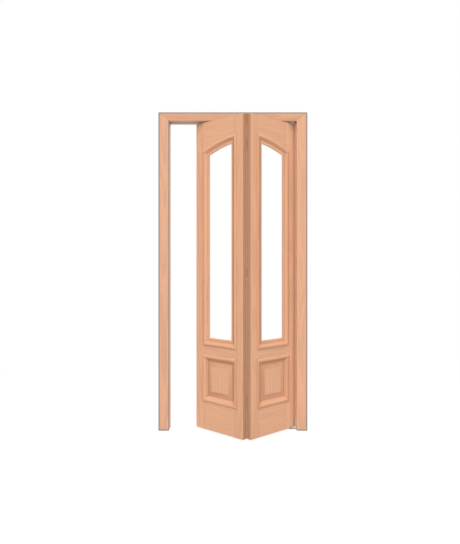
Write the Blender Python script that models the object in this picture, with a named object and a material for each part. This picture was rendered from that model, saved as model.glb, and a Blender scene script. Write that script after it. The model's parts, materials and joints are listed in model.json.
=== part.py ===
# Timber bifold door: two glazed and panelled leaves in their frame, folded towards the front.
# Units are metres, +Z is up, the front faces -Y, and the guide track runs along X at Y = 0.
# The origin lies on the floor line, in the middle of the opening, under the track.

import math

import bmesh
import bpy
from mathutils import Matrix, Vector

# General clearances and smoothness
FIT = 0.0003
OVERRUN = 0.002
ROUND_SIDES = 24
ARC_STEPS = 4

# Leaves
LEAF_WIDTH = 0.420
LEAF_HEIGHT = 2.040
LEAF_THICKNESS = 0.035
LEAF_ARRIS = 0.002
FOLD_ARRIS = 0.0004
FLOOR_GAP = 0.010
HEAD_GAP = 0.010
SIDE_GAP = 0.0045
FOLD_GAP = 0.0006
REST_ANGLE = math.radians(42.3)

# Frame
JAMB_FACE = 0.071
HEAD_FACE = 0.058
FRAME_DEPTH = 0.100
FRAME_ARRIS = 0.004
FRAME_MITRE_GAP = 0.0004

# Layout of a leaf, seen from the front, between the outer edges of its mouldings
OUTER_STILE_FACE = 0.0665
FOLD_STILE_FACE = 0.055
BOTTOM_RAIL_FACE = 0.1845
PANEL_MOULDING_HEIGHT = 0.312
LOCK_RAIL_FACE = 0.0615
ARCH_CROWN_DROP = 0.168
ARCH_RADIUS = 0.855

# Moulded edge of stiles and rails: a front rebate and a quarter round at the back
MOULDING_LAP = 0.020
REBATE_WIDTH = 0.015
REBATE_DEPTH = 0.0165
OVOLO_RADIUS = 0.008

# Bolection mouldings: a nosing, an ogee down past the face, and round the glass a bead
MOULDING_PROUD = 0.008
NOSING_WIDTH = 0.015
NOSING_RADIUS = 0.006
QUIRK_DEPTH = 0.0015
OGEE_STEPS = 7
PANEL_MOULDING_WIDTH = 0.040
PANEL_OGEE_WIDTH = 0.038
PANEL_OGEE_DROP = 0.007
GLAZING_MOULDING_WIDTH = 0.051
GLAZING_OGEE_WIDTH = 0.032
GLAZING_OGEE_DROP = 0.008
GLAZING_BEAD_RISE = 0.002
GLAZING_BEAD_WIDTH = 0.0175
GLAZING_BEAD_FLAT = 0.007
GLAZING_BEAD_FALL = 0.004
MITRE_GAP = 0.0002
ARCH_STATIONS = 18

# Glass and raised panel
GLASS_THICKNESS = 0.004
TONGUE_THICKNESS = 0.006
BEVEL_WIDTH = 0.033
BEVEL_START = 0.002
FIELD_STEP = 0.0025
FIELD_DEPTH = 0.002
BACK_BEVEL_WIDTH = 0.026
BACK_BEVEL_START = 0.003
BACK_FIELD_DEPTH = 0.004

# Stub tenons
TENON_LENGTH = 0.035
TENON_THICKNESS = 0.010
TENON_INSET = 0.015
TENON_FRONT = 0.0065

# Top track and pivot bracket
TRACK_WIDTH = 0.024
TRACK_HEIGHT = 0.020
TRACK_WALL = 0.0016
BRACKET_LENGTH = 0.060
BRACKET_RISE = 0.003

# Pins and sleeves at the leaf ends
PIN_INSET = 0.040
PIN_RADIUS = 0.0047
PIN_CHAMFER = 0.0008
PIN_TOP_GAP = 0.0025
SLEEVE_RADIUS = 0.008
SLEEVE_LENGTH = 0.060
SLEEVE_FLANGE_RADIUS = 0.010
SLEEVE_FLANGE = 0.001
SLEEVE_NECK = 0.008
CHAMBER_RADIUS = 0.0063
COLLAR_HEIGHT = 0.005
STEM_RADIUS = 0.003
STEM_LENGTH = 0.010
SPRING_WIRE = 0.0006
SPRING_TURNS = 9
SPRING_TURN_POINTS = 10
SPRING_SIDES = 6

# Guide roller on its spindle
ROLLER_CLEARANCE = 0.0006
ROLLER_HEIGHT = 0.006
ROLLER_RISE = 0.003
ROLLER_CROWN = 0.0012
SPINDLE_RADIUS = 0.004
SPINDLE_HEAD_RADIUS = 0.006
SPINDLE_HEAD = 0.0008

# Bottom pivot
BUSH_LENGTH = 0.045
BUSH_FLANGE = 0.0012
NUT_HEIGHT = 0.0024
NUT_RADIUS = 0.0085
BASE_THICKNESS = 0.0025
BASE_WIDTH = 0.032
BOSS_HEIGHT = 0.003
BOSS_RADIUS = 0.011
LEG_HEIGHT = 0.070
LEG_THICKNESS = 0.0025

# Leaf hinges, let in flush on the back faces
HINGE_HEIGHT = 0.076
HINGE_PLATE_WIDTH = 0.028
HINGE_PLATE = 0.002
HINGE_CORNER = 0.004
HINGE_STANDOFF = 0.0002
KNUCKLE_RADIUS = 0.0045
KNUCKLE_SIDES = 16
KNUCKLE_COUNT = 5
KNUCKLE_GAP = 0.0004
KNUCKLE_RELIEF = 0.0008
HINGE_PIN_RADIUS = 0.0022
HINGE_PIN_HEAD = 0.0012
HINGE_TOP_INSET = 0.190
HINGE_BOTTOM_INSET = 0.240
SCREW_HOLE_RADIUS = 0.0021
SCREW_HEAD_RADIUS = 0.0040
SCREW_HOLE_SIDES = 12
SCREW_SPREAD = 0.027
SCREW_STAGGER = 0.0035

# Worked out from the sizes above
FRONT = -LEAF_THICKNESS / 2
BACK = LEAF_THICKNESS / 2
LEAF_BOTTOM = FLOOR_GAP
LEAF_TOP = FLOOR_GAP + LEAF_HEIGHT
OPENING_HEIGHT = LEAF_TOP + HEAD_GAP
HALF_OPENING = LEAF_WIDTH + SIDE_GAP + FOLD_GAP / 2
PIVOT_X = HALF_OPENING - SIDE_GAP - PIN_INSET
LIP = MOULDING_LAP + REBATE_WIDTH
REBATE_FLOOR = FRONT + REBATE_DEPTH
GLASS_BACK = REBATE_FLOOR - FIT
GLASS_FRONT = GLASS_BACK - GLASS_THICKNESS
FOLD_LINE = LEAF_WIDTH + FOLD_GAP / 2
PANEL_BOTTOM = LEAF_BOTTOM + BOTTOM_RAIL_FACE
PANEL_TOP = PANEL_BOTTOM + PANEL_MOULDING_HEIGHT
GLAZING_BOTTOM = PANEL_TOP + LOCK_RAIL_FACE
ARCH_CENTRE = LEAF_TOP - ARCH_CROWN_DROP - ARCH_RADIUS
TONGUE_BACK = REBATE_FLOOR - FIT
TONGUE_FRONT = TONGUE_BACK - TONGUE_THICKNESS
TRACK_TOP = OPENING_HEIGHT + TRACK_HEIGHT
CHANNEL_TOP = TRACK_TOP - TRACK_WALL
CHANNEL_HALF = TRACK_WIDTH / 2 - TRACK_WALL
PIN_BORE_RADIUS = PIN_RADIUS + FIT
SLEEVE_BORE_RADIUS = SLEEVE_RADIUS + FIT
SLEEVE_BOTTOM = LEAF_TOP - SLEEVE_LENGTH
SLEEVE_TOP = LEAF_TOP + FIT + SLEEVE_FLANGE
NECK_BOTTOM = SLEEVE_TOP - SLEEVE_NECK
COLLAR_TOP = NECK_BOTTOM - FIT
COLLAR_BOTTOM = COLLAR_TOP - COLLAR_HEIGHT
COLLAR_RADIUS = CHAMBER_RADIUS - FIT
HINGE_X = LEAF_WIDTH - PIN_INSET + FOLD_GAP / 2
HINGE_Y = BACK + HINGE_STANDOFF
HINGE_BORE_RADIUS = HINGE_PIN_RADIUS + FIT
HINGE_HEIGHTS = {
    "top": LEAF_TOP - HINGE_TOP_INSET,
    "middle": (LEAF_TOP - HINGE_TOP_INSET + LEAF_BOTTOM + HINGE_BOTTOM_INSET) / 2,
    "bottom": LEAF_BOTTOM + HINGE_BOTTOM_INSET,
}

# Colours as red, green, blue in linear light, then roughness and metallic
FINISHES = {
    "wood": ((0.73, 0.42, 0.26), 0.45, 0.0),
    "frame_wood": ((0.80, 0.46, 0.29), 0.45, 0.0),
    "glass": ((0.93, 0.97, 0.96), 0.05, 0.0),
    "aluminium": ((0.72, 0.73, 0.74), 0.35, 1.0),
    "steel": ((0.62, 0.62, 0.60), 0.30, 1.0),
    "brass": ((0.72, 0.52, 0.25), 0.30, 1.0),
    "nylon": ((0.85, 0.84, 0.80), 0.50, 0.0),
}


def clear_scene():
    for item in list(bpy.data.objects):
        bpy.data.objects.remove(item, do_unlink=True)


def finish_for(name, finish):
    """A material of the piece's own, with the colour of its finish."""
    colour, roughness, metallic = FINISHES[finish]
    material = bpy.data.materials.new(name)
    material.use_nodes = True
    shader = material.node_tree.nodes["Principled BSDF"]
    shader.inputs["Base Color"].default_value = (*colour, 1.0)
    shader.inputs["Roughness"].default_value = roughness
    shader.inputs["Metallic"].default_value = metallic
    return material


def empty(name, location, parent=None, turn=0.0):
    marker = bpy.data.objects.new(name, None)
    marker.location = location
    marker.rotation_euler = (0.0, 0.0, turn)
    marker.parent = parent
    bpy.context.collection.objects.link(marker)
    return marker


# Basic solids, each a bmesh


def loft(loops):
    """Join loops of points, each as long as the next, and close both ends."""
    solid = bmesh.new()
    rings = [[solid.verts.new(point) for point in loop] for loop in loops]
    count = len(rings[0])
    for lower, upper in zip(rings, rings[1:]):
        for i in range(count):
            j = (i + 1) % count
            solid.faces.new((lower[i], lower[j], upper[j], upper[i]))
    solid.faces.new(rings[0])
    solid.faces.new(rings[-1])
    bmesh.ops.recalc_face_normals(solid, faces=solid.faces)
    return solid


def box(low, high):
    (x0, y0, z0), (x1, y1, z1) = low, high
    outline = [(x0, y0), (x1, y0), (x1, y1), (x0, y1)]
    return loft([[(x, y, z) for x, y in outline] for z in (z0, z1)])


def prism(outline, low, high):
    """An outline in X and Y, raised from one height to another."""
    return loft([[(x, y, z) for x, y in outline] for z in (low, high)])


def turned(profile, sides=ROUND_SIDES, centre=(0.0, 0.0)):
    """Revolve a closed profile of (radius, height) points about a vertical axis."""
    solid = bmesh.new()
    rings = []
    for radius, height in profile:
        if radius == 0:
            rings.append([solid.verts.new((centre[0], centre[1], height))] * sides)
            continue
        ring = []
        for i in range(sides):
            angle = math.tau * i / sides
            x = centre[0] + radius * math.cos(angle)
            y = centre[1] + radius * math.sin(angle)
            ring.append(solid.verts.new((x, y, height)))
        rings.append(ring)
    for lower, upper in zip(rings, rings[1:] + rings[:1]):
        for i in range(sides):
            j = (i + 1) % sides
            corners = list(dict.fromkeys((lower[i], lower[j], upper[j], upper[i])))
            if len(corners) > 2:
                solid.faces.new(corners)
    bmesh.ops.recalc_face_normals(solid, faces=solid.faces)
    return solid


def rod(radius, low, high, centre=(0.0, 0.0), sides=ROUND_SIDES):
    return turned([(0.0, low), (radius, low), (radius, high), (0.0, high)], sides, centre)


def arc(centre, radius, start, end, steps=ARC_STEPS):
    """Points on a circle from one angle to another, both ends included."""
    points = []
    for step in range(steps + 1):
        angle = math.radians(start + (end - start) * step / steps)
        points.append(
            (centre[0] + radius * math.cos(angle), centre[1] + radius * math.sin(angle))
        )
    return points


def rounded_corner(corner, inward, radius):
    """A rounded outline corner. inward gives the signs that point into the solid in X and Y."""
    centre = (corner[0] + inward[0] * radius, corner[1] + inward[1] * radius)
    start = {(1, 1): 180, (-1, 1): 270, (-1, -1): 0, (1, -1): 90}[inward]
    return arc(centre, radius, start, start + 90)


def rounded_rectangle(low, high, radius):
    corners = [
        (low, (1, 1)),
        ((high[0], low[1]), (-1, 1)),
        (high, (-1, -1)),
        ((low[0], high[1]), (1, -1)),
    ]
    return [point for corner, inward in corners for point in rounded_corner(corner, inward, radius)]


# Turning solids into pieces


def raw_object(solid, name):
    mesh = bpy.data.meshes.new(name)
    solid.to_mesh(mesh)
    solid.free()
    item = bpy.data.objects.new(name, mesh)
    bpy.context.collection.objects.link(item)
    return item


def carve(item, solid, operation="DIFFERENCE"):
    """Cut a solid out of a piece, or unite it with the piece."""
    tool = raw_object(solid, "tool")
    modifier = item.modifiers.new("carve", "BOOLEAN")
    modifier.operation = operation
    modifier.solver = "EXACT"
    modifier.object = tool
    bpy.context.view_layer.update()
    evaluated = item.evaluated_get(bpy.context.evaluated_depsgraph_get())
    mesh = bpy.data.meshes.new_from_object(evaluated)
    item.modifiers.clear()
    old = item.data
    item.data = mesh
    bpy.data.meshes.remove(old)
    bpy.data.objects.remove(tool, do_unlink=True)


def mirror_across(item):
    """Turn a piece over from the guide leaf's hand to the pivot leaf's."""
    solid = bmesh.new()
    solid.from_mesh(item.data)
    solid.transform(Matrix.Scale(-1, 4, Vector((1, 0, 0))))
    bmesh.ops.reverse_faces(solid, faces=solid.faces)
    solid.to_mesh(item.data)
    solid.free()


def piece(name, solid, finish, place, cuts=(), joins=(), bores=(), mirrored=False, smooth=False):
    """Make a named piece: cut it, join what belongs to it, bore it, and put it in its place.

    place is the piece's parent and its location there.
    """
    item = raw_object(solid, name)
    for cut in cuts:
        carve(item, cut)
    for join in joins:
        carve(item, join, "UNION")
    for bore in bores:
        carve(item, bore)
    if mirrored:
        mirror_across(item)
    if smooth:
        item.data.shade_smooth()
        item.data.set_sharp_from_angle(angle=math.radians(35))
    item.data.materials.clear()
    item.data.materials.append(finish_for(name, finish))
    item.parent, item.location = place
    return item


# Sections of the timber


def moulded_edge(grow=0.0):
    """Inner edge of a stile or rail, front to back, as (distance into the wood, depth)."""
    wall = REBATE_WIDTH - grow
    floor = REBATE_FLOOR - grow
    points = [(wall, FRONT), (wall, floor), (-grow, floor)]
    for across, depth in arc((OVOLO_RADIUS, BACK - OVOLO_RADIUS), OVOLO_RADIUS + grow, 180, 90):
        points.append((across, depth))
    return points


def stile_outline(face, back_arris, grow=0.0):
    """Plan of a stile whose outer edge is at zero. Grown, it is what a rail is scribed to."""
    sight = face + LIP
    points = [(sight - into, depth) for into, depth in moulded_edge(grow)]
    if grow:
        points[0] = (points[0][0], FRONT - OVERRUN)
        points.append((points[-1][0], BACK + OVERRUN))
        return points + [(0.0, BACK + OVERRUN), (0.0, FRONT - OVERRUN)]
    outer = rounded_corner((0.0, BACK), (1, -1), back_arris)
    return points + outer + rounded_corner((0.0, FRONT), (1, 1), LEAF_ARRIS)


def from_pin(across):
    """Distance along the leaf measured from its pin instead of from its outer edge."""
    return across - PIN_INSET


def outer_line(inward):
    """Distance from the leaf's outer edge to a line this far inside the outer moulding."""
    return OUTER_STILE_FACE + inward


def fold_line(inward):
    """The same for a line this far inside the moulding of the fold side."""
    return LEAF_WIDTH - FOLD_STILE_FACE - inward


def stile_plan(at_fold, grow=0.0):
    """Plan of the stile at the leaf's outer edge, or of the one at its fold."""
    if at_fold:
        outline = stile_outline(FOLD_STILE_FACE, FOLD_ARRIS, grow)
        return [(from_pin(LEAF_WIDTH - x), y) for x, y in outline]
    outline = stile_outline(OUTER_STILE_FACE, LEAF_ARRIS, grow)
    return [(from_pin(x), y) for x, y in outline]


def arch_height(across, inward):
    """Height of the arc that lies this far inside the outer edge of the arched moulding."""
    radius = ARCH_RADIUS + GLAZING_MOULDING_WIDTH - inward
    return ARCH_CENTRE + math.sqrt(radius**2 - (FOLD_LINE - across) ** 2)


# Rails: each entry gives the section's lower and upper edge, and the span of its tenons


def rail_edges(kind):
    """Lower and upper edge of a rail: its section, and a height for each point of it."""
    plain = [(0.0, FRONT), (0.0, BACK)]
    moulded = moulded_edge()
    if kind == "bottom_rail":
        top = PANEL_BOTTOM + LIP
        return (plain, lambda x, into: LEAF_BOTTOM), (moulded, lambda x, into: top - into)
    if kind == "lock_rail":
        low = PANEL_TOP - LIP
        high = GLAZING_BOTTOM + LIP
        return (moulded, lambda x, into: low + into), (moulded, lambda x, into: high - into)
    arch = (moulded, lambda x, into: arch_height(x, LIP - into))
    return arch, (plain, lambda x, into: LEAF_TOP)


def rail_stations(kind):
    """Places along the leaf where the rail's section is drawn."""
    start = outer_line(MOULDING_LAP / 2)
    count = ARCH_STATIONS if kind == "top_rail" else 1
    length = fold_line(MOULDING_LAP / 2) - start
    return [start + length * i / count for i in range(count + 1)]


def rail_blank(kind):
    """The rail before its ends are cut, running a little way into both stiles."""
    (low_section, low_at), (high_section, high_at) = rail_edges(kind)
    loops = []
    for across in rail_stations(kind):
        loop = [(from_pin(across), depth, low_at(across, into)) for into, depth in low_section]
        for into, depth in reversed(high_section):
            loop.append((from_pin(across), depth, high_at(across, into)))
        loops.append(loop)
    return loft(loops)


def tenon(kind, at_fold, grow=0.0):
    """The stub tenon of a rail, or its mortise when it is grown."""
    (_, low_at), (_, high_at) = rail_edges(kind)
    line = fold_line if at_fold else outer_line
    shoulder = line(MOULDING_LAP)
    low = low_at(shoulder, REBATE_WIDTH) + TENON_INSET
    high = high_at(shoulder, REBATE_WIDTH) - TENON_INSET
    tip = line(MOULDING_LAP - TENON_LENGTH - grow)
    root = line(LIP)
    ends = sorted((from_pin(tip), from_pin(root)))
    front = FRONT + TENON_FRONT
    return box(
        (ends[0], front - grow, low - grow),
        (ends[1], front + TENON_THICKNESS + grow, high + grow),
    )


RAILS = ("top_rail", "lock_rail", "bottom_rail")


# Mouldings, glass and panel


def glazing_bead():
    """Points of the bead round the glass, from the glass up and out to the ogee's foot."""
    top = FRONT + GLAZING_OGEE_DROP - GLAZING_BEAD_RISE
    start = GLAZING_MOULDING_WIDTH - GLAZING_BEAD_WIDTH
    shoulder = start + GLAZING_BEAD_FLAT
    reach = GLAZING_MOULDING_WIDTH - shoulder
    points = []
    for across, height in arc((0.0, 0.0), 1.0, 0, 90):
        points.append((shoulder + reach * across, top + GLAZING_BEAD_FALL * (1 - height)))
    return points + [(start, top)]


def moulding_section(glazing):
    """Section of a moulding, as (distance in from its outer edge, depth)."""
    base = (GLASS_FRONT if glazing else TONGUE_FRONT) - FIT
    width = GLAZING_MOULDING_WIDTH if glazing else PANEL_MOULDING_WIDTH
    foot_across = GLAZING_OGEE_WIDTH if glazing else PANEL_OGEE_WIDTH
    foot = FRONT + (GLAZING_OGEE_DROP if glazing else PANEL_OGEE_DROP)
    face = FRONT - FIT
    leg = MOULDING_LAP + FIT
    crest = FRONT - MOULDING_PROUD
    points = [(0.0, face), (leg, face), (leg, base), (width, base)]
    if glazing:
        points += glazing_bead()
        points.append((points[-1][0], foot))
    else:
        points.append((width, foot))
    top = crest + QUIRK_DEPTH
    for step in range(OGEE_STEPS + 1):
        share = step / OGEE_STEPS
        across = foot_across + (NOSING_WIDTH - foot_across) * share
        fall = (1 + math.cos(math.pi * share)) / 2
        points.append((across, top + (foot - top) * fall))
    points.append((NOSING_WIDTH, crest))
    for across, height in arc((NOSING_RADIUS, -NOSING_RADIUS), NOSING_RADIUS, 90, 180):
        points.append((across, crest - height))
    return points


def straight_bar(section, start, end):
    """A moulding between two corners, each a function of the distance in from the outer edge."""
    loops = []
    for corner in (start, end):
        loop = []
        for inward, depth in section:
            across, height = corner(inward)
            loop.append((from_pin(across), depth, height))
        loops.append(loop)
    return loft(loops)


def arch_bar(section):
    """The moulding under the arch, whose every line is an arc about the arch's centre."""
    loops = []
    for station in range(ARCH_STATIONS + 1):
        share = station / ARCH_STATIONS
        loop = []
        for inward, depth in section:
            start = outer_line(inward) + MITRE_GAP
            end = fold_line(inward) - MITRE_GAP
            across = start + (end - start) * share
            loop.append((from_pin(across), depth, arch_height(across, inward)))
        loops.append(loop)
    return loft(loops)


def moulding_bars(place):
    """The four bars round the glazing or round the panel, mitred at their corners."""
    glazing = place == "glazing"
    section = moulding_section(glazing)
    bottom = GLAZING_BOTTOM if glazing else PANEL_BOTTOM

    def top(across, inward):
        if glazing:
            return arch_height(across, inward)
        return PANEL_TOP - inward

    bars = {}
    for name, side in (("outer", outer_line), ("fold", fold_line)):
        bars[name] = straight_bar(
            section,
            lambda p, side=side: (side(p), bottom + p + MITRE_GAP),
            lambda p, side=side: (side(p), top(side(p), p) - MITRE_GAP),
        )
    bars["bottom"] = straight_bar(
        section,
        lambda p: (outer_line(p) + MITRE_GAP, bottom + p),
        lambda p: (fold_line(p) - MITRE_GAP, bottom + p),
    )
    if glazing:
        bars["arch"] = arch_bar(section)
    else:
        bars["top"] = straight_bar(
            section,
            lambda p: (outer_line(p) + MITRE_GAP, PANEL_TOP - p),
            lambda p: (fold_line(p) - MITRE_GAP, PANEL_TOP - p),
        )
    return bars


def glass_pane():
    """The pane: straight at the sides and foot, arched at the head."""
    tuck = MOULDING_LAP + FIT
    foot = GLAZING_BOTTOM + tuck
    outline = [(fold_line(tuck), foot), (outer_line(tuck), foot)]
    length = fold_line(tuck) - outer_line(tuck)
    for station in range(ARCH_STATIONS + 1):
        across = outer_line(tuck) + length * station / ARCH_STATIONS
        outline.append((across, arch_height(across, tuck)))
    depths = (GLASS_FRONT, GLASS_BACK)
    return loft([[(from_pin(x), y, z) for x, z in outline] for y in depths])


def raised_panel():
    """A panel raised and fielded on both faces, as rectangles set in from the moulding's edge."""
    edge = MOULDING_LAP + FIT
    bevel = PANEL_MOULDING_WIDTH + BEVEL_START
    field = PANEL_MOULDING_WIDTH + BEVEL_WIDTH
    back_bevel = LIP + BACK_BEVEL_START
    back_field = LIP + BACK_BEVEL_WIDTH
    levels = [
        (field, FRONT + FIELD_DEPTH),
        (field, FRONT + FIELD_DEPTH + FIELD_STEP),
        (bevel, TONGUE_FRONT),
        (edge, TONGUE_FRONT),
        (edge, TONGUE_BACK),
        (back_bevel, TONGUE_BACK),
        (back_field, BACK - BACK_FIELD_DEPTH - FIELD_STEP),
        (back_field, BACK - BACK_FIELD_DEPTH),
    ]
    loops = []
    for inward, depth in levels:
        x0 = from_pin(outer_line(inward))
        x1 = from_pin(fold_line(inward))
        z0 = PANEL_BOTTOM + inward
        z1 = PANEL_TOP - inward
        loops.append([(x0, depth, z0), (x1, depth, z0), (x1, depth, z1), (x0, depth, z1)])
    return loft(loops)


# Leaf hinges


def knuckle_spans(level):
    """Height range of each knuckle of a hinge, from its foot up."""
    foot = level - HINGE_HEIGHT / 2
    pitch = HINGE_HEIGHT / KNUCKLE_COUNT
    half_gap = KNUCKLE_GAP / 2
    spans = []
    for i in range(KNUCKLE_COUNT):
        spans.append((foot + pitch * i + half_gap, foot + pitch * (i + 1) - half_gap))
    return spans


def hinge_plate_solids(level, odd):
    """Plate, its screw holes, the knuckles that belong to it, and the bore for the pin."""
    axis = (HINGE_X, HINGE_Y)
    free_edge = HINGE_X - HINGE_PLATE_WIDTH
    knuckle_edge = HINGE_X - KNUCKLE_RADIUS - KNUCKLE_RELIEF
    foot = level - HINGE_HEIGHT / 2
    face = BACK - HINGE_PLATE
    outline = rounded_corner((free_edge, foot), (1, 1), HINGE_CORNER)
    outline += [(knuckle_edge, foot), (knuckle_edge, foot + HINGE_HEIGHT)]
    top = foot + HINGE_HEIGHT
    outline += rounded_corner((free_edge, top), (1, -1), HINGE_CORNER)
    plate = loft([[(x, y, z) for x, z in outline] for y in (face, BACK)])
    joins, holes = [], []
    for number, (low, high) in enumerate(knuckle_spans(level)):
        if number % 2 == odd:
            strap_start = knuckle_edge - KNUCKLE_RELIEF
            joins.append(box((strap_start, face, low), (HINGE_X, BACK, high)))
            joins.append(rod(KNUCKLE_RADIUS, low, high, axis, KNUCKLE_SIDES))
    bore = rod(HINGE_BORE_RADIUS, foot - OVERRUN, top + OVERRUN, axis, KNUCKLE_SIDES)
    middle = (free_edge + knuckle_edge) / 2
    for step in (-1, 0, 1):
        shift = SCREW_STAGGER if step else -SCREW_STAGGER
        holes.append(countersink(middle + shift, level + step * SCREW_SPREAD))
    return plate, holes, joins, [bore]


def countersink(across, height):
    """A screw hole with its cone opening to the back face."""
    cone = SCREW_HEAD_RADIUS - SCREW_HOLE_RADIUS
    profile = [
        (0.0, -HINGE_PLATE - OVERRUN),
        (SCREW_HOLE_RADIUS, -HINGE_PLATE - OVERRUN),
        (SCREW_HOLE_RADIUS, -cone),
        (SCREW_HEAD_RADIUS + OVERRUN, OVERRUN),
        (0.0, OVERRUN),
    ]
    hole = turned(profile, SCREW_HOLE_SIDES)
    hole.transform(Matrix.Rotation(-math.pi / 2, 4, "X"))
    hole.transform(Matrix.Translation((across, BACK, height)))
    return hole


def hinge_recesses(level):
    """The plate's bed in the meeting stile, and the round room for the knuckles."""
    half = HINGE_HEIGHT / 2 + FIT
    bed = box(
        (HINGE_X - HINGE_PLATE_WIDTH - FIT, BACK - HINGE_PLATE - FIT, level - half),
        (HINGE_X + OVERRUN, BACK + OVERRUN, level + half),
    )
    reach = half + HINGE_PIN_HEAD + KNUCKLE_RELIEF
    room = KNUCKLE_RADIUS + KNUCKLE_RELIEF
    relief = rod(room, level - reach, level + reach, (HINGE_X, HINGE_Y), KNUCKLE_SIDES)
    return [bed, relief]


def hinge_pin(level):
    """A pin with a button at each end, just past the outer knuckles."""
    low = level - HINGE_HEIGHT / 2
    high = low + HINGE_HEIGHT
    bevelled = KNUCKLE_RADIUS - HINGE_PIN_HEAD / 2
    profile = [
        (0.0, low - HINGE_PIN_HEAD),
        (bevelled, low - HINGE_PIN_HEAD),
        (KNUCKLE_RADIUS, low - HINGE_PIN_HEAD / 2),
        (KNUCKLE_RADIUS, low),
        (HINGE_PIN_RADIUS, low),
        (HINGE_PIN_RADIUS, high),
        (KNUCKLE_RADIUS, high),
        (KNUCKLE_RADIUS, high + HINGE_PIN_HEAD / 2),
        (bevelled, high + HINGE_PIN_HEAD),
        (0.0, high + HINGE_PIN_HEAD),
    ]
    return turned(profile, KNUCKLE_SIDES, (HINGE_X, HINGE_Y))


# Pins, sleeves, springs and roller, all about the pin's own axis


def sleeve():
    """Nylon sleeve with a flange on the leaf's top edge and a narrower neck that keeps the pin."""
    return turned(
        [
            (CHAMBER_RADIUS, SLEEVE_BOTTOM),
            (SLEEVE_RADIUS, SLEEVE_BOTTOM),
            (SLEEVE_RADIUS, LEAF_TOP + FIT),
            (SLEEVE_FLANGE_RADIUS, LEAF_TOP + FIT),
            (SLEEVE_FLANGE_RADIUS, SLEEVE_TOP),
            (PIN_BORE_RADIUS, SLEEVE_TOP),
            (PIN_BORE_RADIUS, NECK_BOTTOM),
            (CHAMBER_RADIUS, NECK_BOTTOM),
        ]
    )


def pin_foot():
    """Profile of a sprung pin inside its sleeve: stem, collar and the start of the shank."""
    stem_foot = COLLAR_BOTTOM - STEM_LENGTH
    return [
        (0.0, stem_foot),
        (STEM_RADIUS, stem_foot),
        (STEM_RADIUS, COLLAR_BOTTOM),
        (COLLAR_RADIUS, COLLAR_BOTTOM),
        (COLLAR_RADIUS, COLLAR_TOP),
        (PIN_RADIUS, COLLAR_TOP),
    ]


def top_pin():
    tip = CHANNEL_TOP - PIN_TOP_GAP
    ending = [
        (PIN_RADIUS, tip - PIN_CHAMFER),
        (PIN_RADIUS - PIN_CHAMFER, tip),
        (0.0, tip),
    ]
    return turned(pin_foot() + ending)


def roller_span():
    low = OPENING_HEIGHT + ROLLER_RISE
    return low, low + ROLLER_HEIGHT


def guide_pin():
    """The sprung pin whose spindle carries the roller between a flange and a riveted head."""
    low, high = roller_span()
    flange_top = low - FIT
    head_foot = high + FIT
    ending = [
        (PIN_RADIUS, flange_top - SPINDLE_HEAD),
        (SPINDLE_HEAD_RADIUS, flange_top - SPINDLE_HEAD),
        (SPINDLE_HEAD_RADIUS, flange_top),
        (SPINDLE_RADIUS, flange_top),
        (SPINDLE_RADIUS, head_foot),
        (SPINDLE_HEAD_RADIUS, head_foot),
        (SPINDLE_RADIUS, head_foot + SPINDLE_HEAD),
        (0.0, head_foot + SPINDLE_HEAD),
    ]
    return turned(pin_foot() + ending)


def roller():
    low, high = roller_span()
    radius = CHANNEL_HALF - ROLLER_CLEARANCE
    bore = SPINDLE_RADIUS + FIT
    return turned(
        [
            (bore, low),
            (radius - ROLLER_CROWN, low),
            (radius, low + ROLLER_CROWN),
            (radius, high - ROLLER_CROWN),
            (radius - ROLLER_CROWN, high),
            (bore, high),
        ]
    )


def coil_spring():
    """A helix between the sleeve bore's floor and the pin's collar."""
    low = SLEEVE_BOTTOM + SPRING_WIRE
    high = COLLAR_BOTTOM - FIT - SPRING_WIRE
    coil_radius = (STEM_RADIUS + CHAMBER_RADIUS) / 2
    count = SPRING_TURNS * SPRING_TURN_POINTS
    rise = (high - low) / (math.tau * SPRING_TURNS)
    middles = []
    loops = []
    for i in range(count + 1):
        angle = math.tau * i / SPRING_TURN_POINTS
        out = Vector((math.cos(angle), math.sin(angle), 0.0))
        along = Vector((-out.y * coil_radius, out.x * coil_radius, rise)).normalized()
        up = out.cross(along)
        middle = out * coil_radius + Vector((0.0, 0.0, low + (high - low) * i / count))
        loop = []
        for side in range(SPRING_SIDES):
            turn = math.tau * side / SPRING_SIDES
            loop.append(middle + (out * math.cos(turn) + up * math.sin(turn)) * SPRING_WIRE)
        middles.append(middle)
        loops.append(loop)
    print(f"Coil spring: least gap to itself {least_gap(middles):.5f} m")
    return loft(loops)


def least_gap(middles):
    """Least space between a spring's turns, measured on its points from half a turn apart."""
    apart = SPRING_TURN_POINTS // 2
    distances = []
    for i, middle in enumerate(middles):
        distances += [(other - middle).length for other in middles[i + apart:]]
    return min(distances) - 2 * SPRING_WIRE


def bottom_bush():
    top = LEAF_BOTTOM + BUSH_LENGTH
    flange_top = LEAF_BOTTOM - FIT
    return turned(
        [
            (PIN_BORE_RADIUS, flange_top - BUSH_FLANGE),
            (SLEEVE_FLANGE_RADIUS, flange_top - BUSH_FLANGE),
            (SLEEVE_FLANGE_RADIUS, flange_top),
            (SLEEVE_RADIUS, flange_top),
            (SLEEVE_RADIUS, top),
            (PIN_BORE_RADIUS, top),
        ]
    )


def bottom_pin():
    """Pin with the thin hexagon that carries the leaf on the bracket's boss."""
    shank_top = LEAF_BOTTOM + BUSH_LENGTH - FIT
    shank = turned(
        [
            (0.0, FIT),
            (PIN_RADIUS - PIN_CHAMFER, FIT),
            (PIN_RADIUS, FIT + PIN_CHAMFER),
            (PIN_RADIUS, shank_top),
            (0.0, shank_top),
        ]
    )
    nut_foot = BASE_THICKNESS + BOSS_HEIGHT + FIT
    nut = rod(NUT_RADIUS, nut_foot, nut_foot + NUT_HEIGHT, sides=6)
    return shank, nut


# Assembly


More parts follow.
